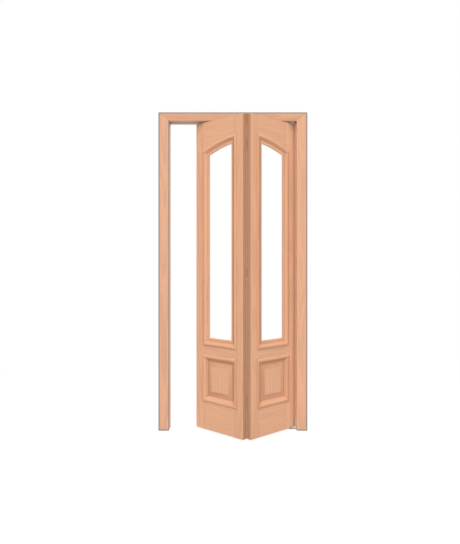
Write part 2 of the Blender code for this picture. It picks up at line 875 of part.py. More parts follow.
def build_frame(root):
    """Jambs and head, mitred together, with the track let into the head."""
    mitre = HEAD_FACE / JAMB_FACE
    outer = HALF_OPENING + JAMB_FACE
    front = -FRAME_DEPTH / 2
    section = rounded_rectangle((HALF_OPENING, front), (outer, -front), FRAME_ARRIS)
    for name, side in (("left_jamb", -1), ("right_jamb", 1)):
        foot = [(x * side, y, 0.0) for x, y in section]
        head = []
        for x, y in section:
            height = OPENING_HEIGHT + (x - HALF_OPENING) * mitre - FRAME_MITRE_GAP
            head.append((x * side, y, height))
        cuts = [leg_recess()] if side > 0 else []
        piece(name, loft([foot, head]), "frame_wood", (root, (0, 0, 0)), cuts=cuts)
    top = OPENING_HEIGHT + HEAD_FACE
    section = rounded_rectangle((front, OPENING_HEIGHT), (-front, top), FRAME_ARRIS)
    ends = []
    for side in (-1, 1):
        end = []
        for y, z in section:
            end.append((side * (HALF_OPENING + (z - OPENING_HEIGHT) / mitre), y, z))
        ends.append(end)
    groove_half = TRACK_WIDTH / 2 + FIT
    groove = box(
        (-outer, -groove_half, OPENING_HEIGHT - OVERRUN),
        (outer, groove_half, TRACK_TOP + FIT),
    )
    piece("head_jamb", loft(ends), "frame_wood", (root, (0, 0, 0)), cuts=[groove])


def leg_recess():
    """The bed in the pivot jamb for the bottom bracket's upright leg."""
    half = BASE_WIDTH / 2 + FIT
    return box(
        (HALF_OPENING - OVERRUN, -half, -OVERRUN),
        (HALF_OPENING + LEG_THICKNESS + FIT, half, LEG_HEIGHT + FIT),
    )


def build_track(root):
    """The guide track, the pivot bracket inside it and the bottom pivot bracket."""
    half = TRACK_WIDTH / 2
    outline = [
        (-half, OPENING_HEIGHT),
        (-CHANNEL_HALF, OPENING_HEIGHT),
        (-CHANNEL_HALF, CHANNEL_TOP),
        (CHANNEL_HALF, CHANNEL_TOP),
        (CHANNEL_HALF, OPENING_HEIGHT),
        (half, OPENING_HEIGHT),
        (half, TRACK_TOP),
        (-half, TRACK_TOP),
    ]
    reach = HALF_OPENING - FIT
    track = loft([[(x, y, z) for y, z in outline] for x in (-reach, reach)])
    piece("top_track", track, "aluminium", (root, (0, 0, 0)))

    bracket_half = CHANNEL_HALF - FIT
    low = OPENING_HEIGHT + BRACKET_RISE
    block = box(
        (PIVOT_X - BRACKET_LENGTH / 2, -bracket_half, low),
        (PIVOT_X + BRACKET_LENGTH / 2, bracket_half, CHANNEL_TOP - FIT),
    )
    bore = rod(PIN_BORE_RADIUS, low - OVERRUN, CHANNEL_TOP + OVERRUN, (PIVOT_X, 0.0))
    piece("top_pivot_bracket", block, "steel", (root, (0, 0, 0)), cuts=[bore])

    half = BASE_WIDTH / 2
    leg_face = HALF_OPENING
    outline = arc((PIVOT_X, 0.0), half, 90, 270, ROUND_SIDES // 2)
    outline += [(leg_face + LEG_THICKNESS, -half), (leg_face + LEG_THICKNESS, half)]
    base = prism(outline, 0.0, BASE_THICKNESS)
    leg = box((leg_face, -half, 0.0), (leg_face + LEG_THICKNESS, half, LEG_HEIGHT))
    boss_top = BASE_THICKNESS + BOSS_HEIGHT
    boss = rod(BOSS_RADIUS, 0.0, boss_top, (PIVOT_X, 0.0))
    socket = rod(PIN_BORE_RADIUS, -OVERRUN, boss_top + OVERRUN, (PIVOT_X, 0.0))
    place = (root, (0, 0, 0))
    piece("bottom_pivot_bracket", base, "steel", place, joins=[leg, boss], bores=[socket])


def build_leaf(prefix, place, mirrored):
    """Timber, mouldings, panel and glass of one leaf, drawn from its pin towards the fold."""

    def add(name, solid, finish="wood", cuts=(), joins=(), smooth=False):
        full_name = f"{prefix}_{name}"
        piece(full_name, solid, finish, place, cuts, joins, (), mirrored, smooth)

    bore_floor = SLEEVE_BOTTOM - FIT
    top_bore = rod(SLEEVE_BORE_RADIUS, bore_floor, LEAF_TOP + OVERRUN)
    outer_cuts = [top_bore]
    if mirrored:
        bore_top = LEAF_BOTTOM + BUSH_LENGTH + FIT
        outer_cuts.append(rod(SLEEVE_BORE_RADIUS, LEAF_BOTTOM - OVERRUN, bore_top))
    fold_cuts = []
    for level in HINGE_HEIGHTS.values():
        fold_cuts += hinge_recesses(level)
    for kind in RAILS:
        outer_cuts.append(tenon(kind, False, FIT))
        fold_cuts.append(tenon(kind, True, FIT))
    outer = prism(stile_plan(False), LEAF_BOTTOM, LEAF_TOP)
    fold = prism(stile_plan(True), LEAF_BOTTOM, LEAF_TOP)
    add("outer_stile", outer, cuts=outer_cuts)
    add("meeting_stile", fold, cuts=fold_cuts)
    low, high = LEAF_BOTTOM - OVERRUN, LEAF_TOP + OVERRUN
    for kind in RAILS:
        scribes = []
        for at_fold in (False, True):
            scribes.append(prism(stile_plan(at_fold, FIT), low, high))
        tenons = [tenon(kind, at_fold) for at_fold in (False, True)]
        add(kind, rail_blank(kind), cuts=scribes, joins=tenons)
    add("panel", raised_panel())
    add("glass", glass_pane(), "glass")
    for place_name in ("glazing", "panel"):
        for side, bar in moulding_bars(place_name).items():
            add(f"{place_name}_moulding_{side}", bar)


def build_hinges(pivot_place, guide_place):
    """Three hinges: a plate with the outer knuckles, a plate with the inner ones, and a pin."""
    for name, level in HINGE_HEIGHTS.items():
        for leaf, place, odd, mirrored in (
            ("pivot", pivot_place, 0, True),
            ("guide", guide_place, 1, False),
        ):
            plate, holes, joins, bores = hinge_plate_solids(level, odd)
            plate_name = f"{name}_hinge_{leaf}_plate"
            piece(plate_name, plate, "brass", place, holes, joins, bores, mirrored)
        pin_name = f"{name}_hinge_pin"
        piece(pin_name, hinge_pin(level), "brass", pivot_place, mirrored=True, smooth=True)


def build_pins(pivot_place, guide_place):
    """Bottom and top pivots of the pivot leaf, and the guide of the other."""
    piece("bottom_pivot_bush", bottom_bush(), "nylon", pivot_place, smooth=True)
    shank, nut = bottom_pin()
    piece("bottom_pivot_pin", shank, "steel", pivot_place, joins=[nut])
    piece("top_pivot_sleeve", sleeve(), "nylon", pivot_place, smooth=True)
    piece("top_pivot_spring", coil_spring(), "steel", pivot_place, smooth=True)
    piece("top_pivot_pin", top_pin(), "steel", pivot_place, smooth=True)
    piece("guide_sleeve", sleeve(), "nylon", guide_place, smooth=True)
    piece("guide_spring", coil_spring(), "steel", guide_place, smooth=True)
    piece("guide_pin", guide_pin(), "steel", guide_place, smooth=True)
    piece("guide_roller", roller(), "nylon", guide_place, smooth=True)


def main():
    clear_scene()
    frame = empty("frame", (0, 0, 0))
    pivot_axis = empty("pivot_axis", (PIVOT_X, 0, 0), frame, REST_ANGLE)
    hinge_axis = empty("hinge_axis", (-HINGE_X, HINGE_Y, 0), pivot_axis, -2 * REST_ANGLE)
    pivot_place = (pivot_axis, (0, 0, 0))
    guide_place = (hinge_axis, (-HINGE_X, -HINGE_Y, 0))
    build_frame(frame)
    build_track(frame)
    build_leaf("pivot_leaf", pivot_place, True)
    build_leaf("guide_leaf", guide_place, False)
    build_hinges(pivot_place, guide_place)
    build_pins(pivot_place, guide_place)


main()
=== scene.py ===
# Looks of the timber bifold door: wood, glass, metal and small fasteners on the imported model.
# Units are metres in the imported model's own frame: +Z is up and the front faces -Y.

import json
import math

import bmesh
import bpy
from mathutils import Matrix, Vector

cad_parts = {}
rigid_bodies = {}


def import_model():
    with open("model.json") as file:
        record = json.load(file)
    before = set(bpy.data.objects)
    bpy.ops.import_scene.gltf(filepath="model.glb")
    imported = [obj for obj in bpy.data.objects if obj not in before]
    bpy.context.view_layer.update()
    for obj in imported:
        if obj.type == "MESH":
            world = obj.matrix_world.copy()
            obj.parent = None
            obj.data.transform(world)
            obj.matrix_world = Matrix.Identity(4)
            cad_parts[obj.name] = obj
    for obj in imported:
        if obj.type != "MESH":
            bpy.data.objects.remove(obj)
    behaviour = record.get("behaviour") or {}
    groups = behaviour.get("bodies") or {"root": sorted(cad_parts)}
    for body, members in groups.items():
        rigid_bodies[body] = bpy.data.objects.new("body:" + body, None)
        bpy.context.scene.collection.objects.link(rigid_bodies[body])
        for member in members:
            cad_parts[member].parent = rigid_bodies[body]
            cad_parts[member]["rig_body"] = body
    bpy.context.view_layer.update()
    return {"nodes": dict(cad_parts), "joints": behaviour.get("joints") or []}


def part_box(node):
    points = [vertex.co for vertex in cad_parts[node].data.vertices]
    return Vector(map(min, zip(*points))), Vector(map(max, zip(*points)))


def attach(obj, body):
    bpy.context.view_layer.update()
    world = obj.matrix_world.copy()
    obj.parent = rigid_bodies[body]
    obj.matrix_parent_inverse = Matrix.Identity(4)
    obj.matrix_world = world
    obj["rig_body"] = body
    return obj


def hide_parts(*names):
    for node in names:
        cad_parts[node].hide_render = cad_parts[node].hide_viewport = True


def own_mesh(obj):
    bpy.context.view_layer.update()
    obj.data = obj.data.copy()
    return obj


# Camera, level in front of the door, for a picture of 460 x 544 pixels
CAMERA_PLACE = (0.0, -3.570, 1.099)
IMAGE_WIDTH = 460
IMAGE_HEIGHT = 544
FOCAL_PIXELS = 529.6
VANISHING_POINT_PX = (232.9, 265.4)
SENSOR = 36.0

# Light: a strength of one shows a colour as it is written
WORLD_STRENGTH = 0.24
LIGHT_TARGET = Vector((0.0, 0.0, 1.05))
LIGHT_DISTANCE = 60.0
LIGHT_SIZE = 75.0
KEY = {"azimuth": -2.0, "height": 40.0, "strength": 1.27}
BACK = {"azimuth": 165.0, "height": 40.0, "strength": 0.92}

# Floor: a sheet that is white where it is seen, apart from the soft shadow near the door
FLOOR_SIZE = 60.0
FLOOR_DROP = 0.0005
FLOOR_ALBEDO = 0.40
SHADOW_SHARE = 0.16
SHADOW_REACH = (1.2, 3.0)
PAPER_ALBEDO = 0.95

# Colours in linear light
LEAF_WOOD = (0.665, 0.358, 0.213)
FRAME_WOOD = (0.574, 0.306, 0.188)
# Painted shade: how much darker quirks get, and places where other parts stand close
QUIRK_SHADE_SHARES = (0.74, 0.62, 0.52)
# Darker grey on the frame's edges, partly wear and partly painted edge shade
WORN_AND_SHADED_GREY = (0.22, 0.19, 0.17)
# Painted shade on the slopes and crests of mouldings and panels
SLOPE_SHADE_SHARES = (0.78, 0.71, 0.67)
# The fold's narrow edges are darker, partly stain and partly painted shade in its groove
FOLD_EDGE_STAIN_AND_SHADE = (0.70, 0.68, 0.64)
# Painted shade at the bottom of the fold's groove
FOLD_CORNER_SHADE_SHARES = (0.74, 0.56, 0.42)

# Timber figure: sizes in metres along the grain, through the board and across it
PITH_DISTANCE = 0.11
PITH_TILT = 0.015
RING_SPACING = 0.008
RING_WANDER = 4.0
WANDER_SIZES = (0.70, 0.06, 0.06)
FIBRE_SIZES = (0.10, 0.0016, 0.0016)
PORE_SIZES = (0.012, 0.0006, 0.0006)
CLOUD_SIZES = (0.50, 0.09, 0.09)
BOARD_SHIFT = (0.37, 0.23, 0.61)
TONE_SPREAD = 0.015
TONE_STEP = 2.4

# The levels between which each part of the figure comes up, its share and its shade
LATE_WOOD_RISE = (0.20, 0.86)
LATE_WOOD_FALL = (1.0, 0.88)
FIBRE_LEVELS = (0.35, 0.70)
FIBRE_SHARE = 0.45
CLOUD_LEVELS = (0.35, 0.65)
CLOUD_SHARE = 0.35
PORE_LEVELS = (0.66, 0.74)
PORE_SHARE = 0.30
EARLY_WOOD_SHADE = 1.035
LATE_WOOD_SHADE = 0.90
FIBRE_SHADE = 0.88
CLOUD_SHADE = 1.02
PORE_SHADE = 0.62

# Sheen and relief
SATIN_LEVELS = (0.2, 0.8)
SATIN_ROUGHNESS = (0.44, 0.56)
WOOD_SPECULAR = 0.4
RELIEF_SHARE = 0.5
RELIEF_DEPTH = 0.00025

# Painted shade in quirks, on mouldings and panels and in the fold, darker edges partly worn and
# partly shaded, and painted light on inner faces
QUIRK_REACH = 0.014
QUIRK_SAMPLES = 8
QUIRK_LEVELS = (0.80, 0.25)
QUIRK_SHARE = 0.85
LEAF_THICKNESS = 0.035
NOSING_LEVELS = (0.0045, 0.0010)
BEVEL_LEVELS = (-0.0041, -0.0050)
# Painted shade on the panel's bevels, more on those facing left or down than on those facing right or
# up
BEVEL_LEAN = 0.10
LIT_BEVEL_SHARE = 0.30
WORN_AND_SHADED_SHARE = 0.90
WORN_AND_SHADED_FADE = 0.7
EDGE_DEPTH = 0.0015
EDGE_FADE = 0.4
CORNER_SHADE_REACH = (0.0045, 0.0010)

# The darker grey edges of each frame member, partly wear and partly painted edge shade: the axis
# across it, its low or high end (0 or 1), the width
WORN_AND_SHADED_EDGES = {
    "left_jamb": ((0, 0, 0.011), (0, 1, 0.006), (2, 0, 0.010)),
    "right_jamb": ((0, 1, 0.012), (2, 0, 0.010)),
    "head_jamb": ((2, 1, 0.012),),
}

# The inner face of each frame member, painted lighter against the shade it stands in: its axis, low
# or high end (0 or 1), how much lighter it is painted
PAINTED_LIGHT_FACES = {
    "left_jamb": (0, 1, (1.10, 1.25, 1.40)),
    "right_jamb": (0, 0, (1.24, 1.50, 1.62)),
    "head_jamb": (2, 0, (1.50, 1.65, 1.70)),
}

# Pieces that get no painted shade in their quirks
UNSHADED_PIECES = ("right_jamb", "head_jamb", "pivot_leaf_outer_stile")

# The share of painted shade on a piece's crest and below it, with guide_ for that leaf alone
SLOPE_SHADES = {
    "panel": (0.0, 0.9),
    "panel_moulding_outer": (0.7, 0.9),
    "guide_panel_moulding_outer": (0.0, 0.9),
    "panel_moulding_fold": (0.8, 1.0),
    "panel_moulding_top": (0.1, 0.9),
    "panel_moulding_bottom": (0.0, 0.3),
    "glazing_moulding_outer": (0.8, 0.5),
    "guide_glazing_moulding_outer": (0.5, 0.4),
    "glazing_moulding_fold": (0.7, 0.6),
    "guide_glazing_moulding_fold": (0.4, 0.5),
    "glazing_moulding_bottom": (0.0, 0.3),
    "glazing_moulding_arch": (0.1, 0.0),
}

# A tone of its own for some pieces: the head's is painted shade against the light it catches, the
# pivot leaf's outer stile and the arch mouldings' painted light against their shade
TONES_AND_PAINTED_LIGHT = {
    "head_jamb": (0.90, 0.89, 0.86),
    "pivot_leaf_outer_stile": (1.04, 1.11, 1.16),
    "pivot_leaf_meeting_stile": (0.945, 0.930, 0.930),
    "guide_leaf_meeting_stile": (0.935, 0.925, 0.915),
    "guide_leaf_lock_rail": (0.970, 0.970, 0.980),
    "pivot_leaf_glazing_moulding_arch": (1.07, 1.07, 1.07),
    "guide_leaf_glazing_moulding_arch": (1.07, 1.07, 1.07),
}

# Metal, nylon and glass
METAL_CLOUD = 0.02
METAL_LEVELS = (0.3, 0.7)
METAL_SHADES = (0.92, 1.05)
METAL_ROUGHNESS_SHARES = (0.85, 1.2)
METAL_LINE_DEPTH = 0.00004
NYLON_CLOUD = 0.004
NYLON_COLOURS = ((0.80, 0.79, 0.74), (0.74, 0.73, 0.68))
NYLON_ROUGHNESS = 0.45
NYLON_DEPTH = 0.00005
PANE_IOR = 1.45
PANE_RIPPLE = 0.30
PANE_RIPPLE_DEPTH = 0.0002

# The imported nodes: which pieces have a level grain, and how their faces are smoothed
HORIZONTAL_WORDS = ("rail", "head", "moulding_top", "moulding_bottom", "moulding_arch")
SMOOTH_ANGLE = math.radians(32)
WELD_DISTANCE = 0.00002

# Screws in the hinges, brackets and track
HINGE_SCREW_STEP = 0.027
HINGE_SCREW_NEAR = 0.01315
HINGE_SCREW_FAR = 0.02015
HINGE_BACK_GAP = 0.0002
SCREW_RADIUS = 0.0038
SCREW_SHANK = 0.0019
SCREW_SINK = 0.00015
SCREW_SIDES = 24
RECESS_DEPTH = 0.0010
RECESS_WIDTH = 0.0009
PAN_RADIUS = 0.0042
PAN_HEIGHT = 0.0016
PROUD = 0.0003
BRACKET_BASE_TOP = 0.0025

# Shares of a screw head's radius or height
RIM_SHARE = 0.06
RECESS_TAPER = 0.45
FLAT_RECESS_SHARE = 0.62
PAN_RECESS_SHARE = 0.5
PAN_TOP_SHARE = 0.45
PAN_DOME_SHARE = 0.7
PAN_STEPS = 4

# Where the ironwork's screws stand, as shares of the length or width that they have
LEG_SCREW_SHARES = (0.45, 0.80)
BASE_SCREW_REACH = 0.66
BASE_SCREW_SPREAD = 0.28
TRACK_SCREW_SHARES = (0.06, 0.36, 0.66, 0.94)
CLAMP_SCREW_SPREAD = 0.62
HINGE_SCREW_TURN = 1.1

# How far the first screw of each row is turned, and each one more than the one before
SCREW_TURNS = {
    "bracket_leg_screw": (0.3, 0.7),
    "bracket_base_screw": (0.0, 0.9),
    "track_screw": (0.0, 0.8),
    "pivot_clamp_screw": (0.0, 0.5),
}

# Coil springs under the sprung pins
SPRING_WIRE = 0.0006
SPRING_TURNS = 9
SPRING_TURN_POINTS = 24
SPRING_SIDES = 8

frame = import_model()
nodes = frame["nodes"]
joints = {joint["name"]: joint for joint in frame["joints"]}

REST_ANGLE = -math.radians(joints["leaf_pivot"]["range_deg"][0])
PIVOT = Vector((*joints["leaf_pivot"]["pos_m"][:2], 0.0))
HINGE = Vector((*joints["leaf_hinge"]["pos_m"][:2], 0.0))
ALONG = {
    "pivot": Vector((-math.cos(REST_ANGLE), -math.sin(REST_ANGLE), 0.0)),
    "guide": Vector((math.cos(REST_ANGLE), -math.sin(REST_ANGLE), 0.0)),
}
BACKWARD = {
    "pivot": Vector((-math.sin(REST_ANGLE), math.cos(REST_ANGLE), 0.0)),
    "guide": Vector((math.sin(REST_ANGLE), math.cos(REST_ANGLE), 0.0)),
}
LEAF_TURN = {"frame": 0.0, "pivot_leaf": REST_ANGLE, "guide_leaf": -REST_ANGLE}


# Node trees


class Tree:
    """A short way to write the nodes of a material."""

    def __init__(self, name):
        self.material = bpy.data.materials.new(name)
        self.material.use_nodes = True
        self.nodes = self.material.node_tree.nodes
        self.links = self.material.node_tree.links
        self.shader = self.nodes["Principled BSDF"]
        self.place = self.add("ShaderNodeTexCoord").outputs["Object"]

    def set(self, **values):
        """Constants on the shader's own sockets, with _ for a space in their names."""
        for name, value in values.items():
            self.shader.inputs[name.replace("_", " ")].default_value = value

    def connect(self, value, socket):
        if isinstance(value, bpy.types.NodeSocket):
            self.links.new(value, socket)
        elif isinstance(value, tuple) and len(socket.default_value) == 4:
            socket.default_value = (*value, 1.0)
        else:
            socket.default_value = value

    def add(self, kind, inputs=None, **settings):
        node = self.nodes.new(kind)
        for key, value in settings.items():
            setattr(node, key, value)
        for key, value in (inputs or {}).items():
            self.connect(value, node.inputs[key])
        return node

    def math(self, operation, first, second=0.0):
        return self.add("ShaderNodeMath", {0: first, 1: second}, operation=operation).outputs[0]

    def vector_math(self, operation, first, second=(0.0, 0.0, 0.0)):
        return self.add("ShaderNodeVectorMath", {0: first, 1: second}, operation=operation)

    def fade(self, value, low, high, start=0.0, end=1.0):
        """A smooth step of value between low and high."""
        inputs = {"Value": value, "From Min": low, "From Max": high, "To Min": start, "To Max": end}
        return self.add("ShaderNodeMapRange", inputs, interpolation_type="SMOOTHSTEP").outputs[0]

    def noise(self, place, sizes, detail=3.0, roughness=0.5):
        """Noise whose features have these sizes along the three axes."""
        scale = tuple(1.0 / size for size in sizes)
        stretched = self.add("ShaderNodeMapping", {"Vector": place, "Scale": scale}).outputs[0]
        inputs = {"Vector": stretched, "Scale": 1.0, "Detail": detail, "Roughness": roughness}
        return self.add("ShaderNodeTexNoise", inputs).outputs[0]

    def mix(self, factor, first, second, blend="MIX"):
        node = self.add("ShaderNodeMix", data_type="RGBA", blend_type=blend)
        for socket, value in ((0, factor), (6, first), (7, second)):
            self.connect(value, node.inputs[socket])
        return node.outputs[2]

    def tint(self, factor, first, shares):
        """Multiply a colour by its shares, as far as the factor goes."""
        return self.mix(factor, first, self.mix(1.0, first, shares, "MULTIPLY"))

    def bump(self, height, distance):
        inputs = {"Height": height, "Strength": 1.0, "Distance": distance}
        self.links.new(self.add("ShaderNodeBump", inputs).outputs[0], self.shader.inputs["Normal"])


def shade(colour, factor):
    return tuple(channel * factor for channel in colour)


# Finishes


def grain_coordinates(tree, turn, seed):
    """Coordinates with X along the grain, Y through the board and Z across its face."""
    shift = tuple(seed * step for step in BOARD_SHIFT)
    inputs = {"Vector": tree.place, "Rotation": turn, "Location": shift}
    return tree.add("ShaderNodeMapping", inputs, vector_type="TEXTURE").outputs[0]


def growth_rings(tree, turn, middle, seed):
    """Nought to one across each ring of a flat-sawn board, whose pith lies behind its middle."""
    inputs = {"Vector": tree.place, "Rotation": turn, "Location": tuple(middle)}
    board = tree.add("ShaderNodeMapping", inputs, vector_type="TEXTURE").outputs[0]
    axes = tree.add("ShaderNodeSeparateXYZ", {0: board}).outputs
    lean = tree.math("MULTIPLY", axes[0], PITH_TILT)
    depth = tree.math("ADD", tree.math("ADD", axes[1], PITH_DISTANCE), lean)
    squares = tree.math("ADD", tree.math("POWER", depth, 2.0), tree.math("POWER", axes[2], 2.0))
    radius = tree.math("SQRT", squares)
    shifted = grain_coordinates(tree, turn, seed)
    wander = tree.noise(shifted, WANDER_SIZES, detail=2.0, roughness=0.45)
    rings = tree.math("DIVIDE", radius, RING_SPACING)
    rings = tree.math("ADD", rings, tree.math("MULTIPLY", wander, RING_WANDER))
    return tree.math("FRACT", rings)


def wood(name, colour, turn, middle, seed, body):
    """Satin timber for a node: rings, fibres and pores, with painted shade in its quirks, on
    mouldings and panels and in the fold, edges darker partly by wear and partly as painted shade, and
    painted light on the frame's inner faces.
    """
    tree = Tree(f"wood_{name}")
    grain = grain_coordinates(tree, turn, seed)
    ring = growth_rings(tree, turn, middle, seed)
    late = tree.math("MULTIPLY", tree.fade(ring, *LATE_WOOD_RISE), tree.fade(ring, *LATE_WOOD_FALL))
    fibre = tree.noise(grain, FIBRE_SIZES)
    pores = tree.fade(tree.noise(grain, PORE_SIZES, detail=1.0), *PORE_LEVELS)
    cloud = tree.noise(grain, CLOUD_SIZES, detail=2.0)
    base = tree.mix(late, shade(colour, EARLY_WOOD_SHADE), shade(colour, LATE_WOOD_SHADE))
    fibres = tree.fade(fibre, *FIBRE_LEVELS, 0.0, FIBRE_SHARE)
    base = tree.mix(fibres, base, shade(colour, FIBRE_SHADE))
    clouds = tree.fade(cloud, *CLOUD_LEVELS, 0.0, CLOUD_SHARE)
    base = tree.mix(clouds, base, shade(colour, CLOUD_SHADE))
    base = tree.mix(tree.math("MULTIPLY", pores, PORE_SHARE), base, shade(colour, PORE_SHADE))
    # Painted shade in quirks and where parts stand close, read from ambient occlusion
    if name not in UNSHADED_PIECES:
        inputs = {"Distance": QUIRK_REACH}
        occlusion = tree.add("ShaderNodeAmbientOcclusion", inputs, samples=QUIRK_SAMPLES)
        quirk_shade = tree.fade(occlusion.outputs["AO"], *QUIRK_LEVELS, 0.0, QUIRK_SHARE)
        base = tree.tint(quirk_shade, base, QUIRK_SHADE_SHARES)
    if body == "frame":
        # Painted light on the face towards the opening, against the shade it stands in
        axis, end, shares = PAINTED_LIGHT_FACES[name]
        base = tree.tint(painted_light_face(tree, name, axis, end), base, shares)
        # Darker grey edges, partly wear and partly painted edge shade
        base = tree.mix(worn_and_shaded_arris(tree, name), base, WORN_AND_SHADED_GREY)
    elif "moulding" in name or name.endswith("panel"):
        # Painted shade on the slopes and crests of mouldings and panels
        base = tree.tint(slope_shade(tree, name, body), base, SLOPE_SHADE_SHARES)
    elif name.endswith("meeting_stile"):
        # The fold edge is darker, partly stain and partly painted shade in the groove
        edge = fold_edge(tree, body)
        base = tree.tint(edge, base, FOLD_EDGE_STAIN_AND_SHADE)
        # Painted shade at the bottom of the fold's groove
        corner = tree.math("MULTIPLY", edge, fold_corner_shade(tree))
        base = tree.tint(corner, base, FOLD_CORNER_SHADE_SHARES)
    tree.connect(base, tree.shader.inputs["Base Color"])
    roughness = tree.fade(fibre, *SATIN_LEVELS, *SATIN_ROUGHNESS)
    tree.connect(roughness, tree.shader.inputs["Roughness"])
    tree.set(Specular_IOR_Level=WOOD_SPECULAR)
    relief = tree.math("SUBTRACT", fibre, pores)
    tree.bump(tree.math("MULTIPLY", relief, RELIEF_SHARE), RELIEF_DEPTH)
    return tree.material


def worn_and_shaded_arris(tree, name):
    """How dark a frame member is at its darker edges, on both sides of the arris: partly wear, partly
    painted edge shade.
    """
    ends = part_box(name)
    place = tree.add("ShaderNodeSeparateXYZ", {0: tree.place}).outputs
    faces = []
    for box_end in ends:
        faces.append(tree.math("ABSOLUTE", tree.math("SUBTRACT", place[1], box_end[1])))
    from_face = tree.math("MINIMUM", *faces)
    worn_and_shaded = 0.0
    for axis, end, width in WORN_AND_SHADED_EDGES[name]:
        from_edge = tree.math("ABSOLUTE", tree.math("SUBTRACT", place[axis], ends[end][axis]))
        reach = tree.math("MAXIMUM", from_edge, from_face)
        share = tree.fade(reach, width, width * WORN_AND_SHADED_FADE, 0.0, WORN_AND_SHADED_SHARE)
        worn_and_shaded = tree.math("MAXIMUM", worn_and_shaded, share)
    return worn_and_shaded


def painted_light_face(tree, name, axis, end):
    """One on a frame member's face towards the opening, which is painted lighter against its shade.
    """
    across = tree.add("ShaderNodeSeparateXYZ", {0: tree.place}).outputs[axis]
    distance = tree.math("ABSOLUTE", tree.math("SUBTRACT", across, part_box(name)[end][axis]))
    return tree.fade(distance, 2 * EDGE_DEPTH, EDGE_DEPTH)


def slope_shade(tree, name, body):
    """How much painted shade a moulding or panel gets: one share on its crest, one below."""
    side = body.removesuffix("_leaf")
    middle = HINGE - BACKWARD[side] * (HINGE_BACK_GAP + LEAF_THICKNESS / 2)
    place = tree.vector_math("SUBTRACT", tree.place, tuple(middle)).outputs[0]
    depth = tree.vector_math("DOT_PRODUCT", place, tuple(BACKWARD[side])).outputs["Value"]
    proud = tree.math("SUBTRACT", tree.math("ABSOLUTE", depth), LEAF_THICKNESS / 2)
    piece = name.removeprefix(f"{body}_")
    crest, below = SLOPE_SHADES.get(f"{side}_{piece}", SLOPE_SHADES[piece])
    if piece != "panel":
        return tree.fade(proud, *NOSING_LEVELS, crest, below)
    share = tree.fade(proud, *BEVEL_LEVELS, crest, below)
    return tree.math("MULTIPLY", share, bevel_shade_side(tree, side))


def bevel_shade_side(tree, side):
    """One on a panel's bevels that face left or down, and less on the others: painted shade by the
    way each bevel faces.
    """
    right = ALONG[side] * math.copysign(1.0, ALONG[side].x)
    normal = tree.add("ShaderNodeTexCoord").outputs["Normal"]
    away = tuple(right + Vector((0.0, 0.0, 1.0)))
    lean = tree.vector_math("DOT_PRODUCT", normal, away).outputs["Value"]
    return tree.fade(lean, BEVEL_LEAN, -BEVEL_LEAN, LIT_BEVEL_SHARE, 1.0)


def fold_edge(tree, body):
    """One on the narrow face at a leaf's folding edge, which is darkened partly as stain and partly
    as painted shade in the fold's groove.
    """
    along = ALONG[body.removesuffix("_leaf")]
    reach = tree.vector_math("SUBTRACT", tree.place, tuple(HINGE)).outputs[0]
    distance = tree.vector_math("DOT_PRODUCT", reach, tuple(along)).outputs["Value"]
    return tree.fade(distance, -EDGE_DEPTH, -EDGE_DEPTH * EDGE_FADE)


def fold_corner_shade(tree):
    """One at the bottom of the fold's groove, which is darkened as painted shade."""
    reach = tree.vector_math("SUBTRACT", tree.place, tuple(HINGE)).outputs[0]
    level = tree.vector_math("MULTIPLY", reach, (1.0, 1.0, 0.0)).outputs[0]
    distance = tree.vector_math("LENGTH", level).outputs["Value"]
    return tree.fade(distance, *CORNER_SHADE_REACH)


def brushed_metal(name, colour, roughness, grain_sizes):
    """Metal with fine lines of this length and width, and a faint cloud in its tone."""
    tree = Tree(name)
    lines = tree.noise(tree.place, grain_sizes, detail=2.0)
    cloud = tree.noise(tree.place, (METAL_CLOUD,) * 3)
    dark, light = (shade(colour, factor) for factor in METAL_SHADES)
    base = tree.mix(tree.fade(cloud, *METAL_LEVELS), dark, light)
    smooth, rough = (roughness * share for share in METAL_ROUGHNESS_SHARES)
    tree.connect(base, tree.shader.inputs["Base Color"])
    tree.connect(tree.fade(lines, *METAL_LEVELS, smooth, rough), tree.shader.inputs["Roughness"])
    tree.set(Metallic=1.0)
    tree.bump(lines, METAL_LINE_DEPTH)
    return tree.material


def moulded_nylon():
    tree = Tree("white_nylon")
    cloud = tree.noise(tree.place, (NYLON_CLOUD,) * 3)
    base = tree.mix(cloud, *NYLON_COLOURS)
    tree.connect(base, tree.shader.inputs["Base Color"])
    tree.set(Roughness=NYLON_ROUGHNESS)
    tree.bump(cloud, NYLON_DEPTH)
    return tree.material


def clear_glass():
    tree = Tree("pane_glass")
    ripple = tree.noise(tree.place, (PANE_RIPPLE,) * 3, detail=1.0)
    tree.set(Base_Color=(1.0, 1.0, 1.0, 1.0), Transmission_Weight=1.0, IOR=PANE_IOR, Roughness=0.0)
    tree.bump(ripple, PANE_RIPPLE_DEPTH)
    return tree.material


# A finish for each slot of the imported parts; a metal has a colour, roughness and brushed lines
FINISHES = {
    "aluminium": brushed_metal("mill_aluminium", (0.80, 0.80, 0.81), 0.34, (0.30, 0.0007, 0.0007)),
    "steel": brushed_metal("zinc_steel", (0.64, 0.64, 0.61), 0.32, (0.004, 0.004, 0.0005)),
    "brass": brushed_metal("aged_brass", (0.60, 0.39, 0.20), 0.36, (0.0006, 0.0006, 0.02)),
    "nylon": moulded_nylon(),
    "glass": clear_glass(),
}

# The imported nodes, with smooth shading and a finish for each


